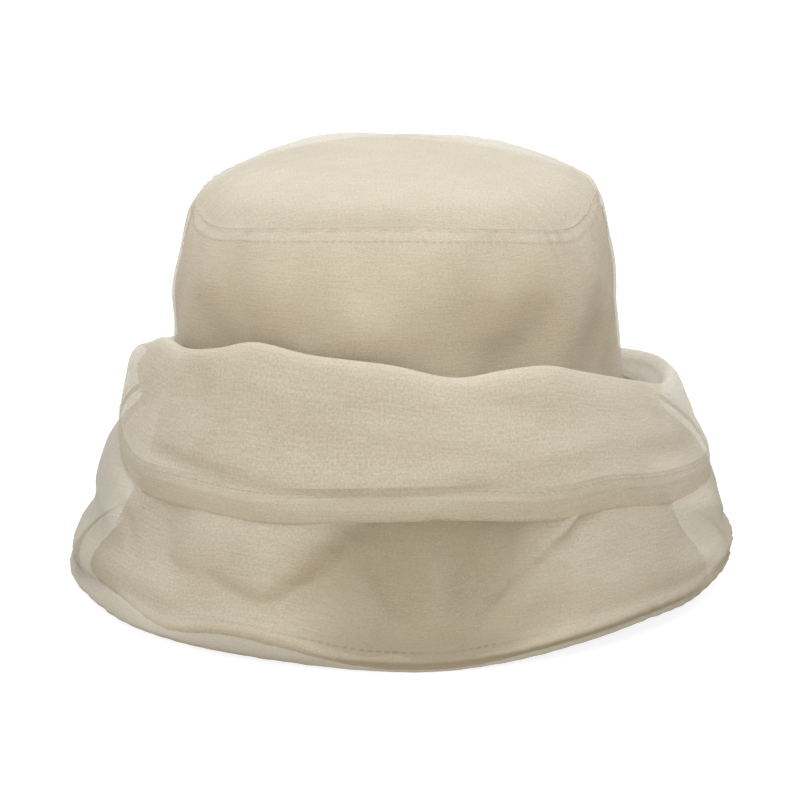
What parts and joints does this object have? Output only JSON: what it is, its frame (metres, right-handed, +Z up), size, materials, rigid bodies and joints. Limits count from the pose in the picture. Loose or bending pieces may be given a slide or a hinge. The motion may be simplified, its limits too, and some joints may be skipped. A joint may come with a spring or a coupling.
{
  "type": "beekeeping veil",
  "caption": "Soft bucket hat with a sheer gauze veil drawn over its crown and brim and turned up in a loose cuff.",
  "frame": {"origin": "centre of the brim's edge, on the surface that the hat rests on", "axes": "+Z up through the crown, -Y the wearer's front, +X the wearer's left"},
  "size_m": [0.2618, 0.288, 0.1661],
  "materials": {
    "twill": "fine cotton twill, washed, khaki cream",
    "interlining": "stiff woven interlining",
    "lining": "plain light cotton",
    "sweatband": "cotton tape",
    "thread": "matt sewing thread",
    "gauze": "sheer fine gauze, light beige",
    "gauze_seam": "folded gauze, several layers",
    "elastic": "flat woven elastic"
  },
  "bodies": {
    "hat": {"crown_tip": "twill", "crown_band_front": "twill", "crown_band_back": "twill", "brim_top_front": "twill", "brim_top_back": "twill", "brim_interlining": "interlining", "brim_facing_front": "twill", "brim_facing_back": "twill", "brim_edge_roll": "twill", "lining_tip": "lining", "lining_band": "lining", "sweatband": "sweatband", "tip_topstitch": "thread", "crown_base_topstitch": "thread", "brim_edge_topstitch": "thread", "side_seam_topstitch": "thread"},
    "veil": {"veil_top_panel": "gauze", "veil_side_panel": "gauze", "veil_top_seam": "gauze_seam", "veil_back_seam": "gauze_seam", "veil_hem_casing": "gauze_seam", "veil_hem_elastic": "elastic", "veil_hem_stitching": "thread"}
  },
  "joints": [
    {"name": "veil_lift", "type": "slide", "parent": "hat", "child": "veil", "axis": [0, 0, 1], "range_m": [0, 0.19]}
  ]
}
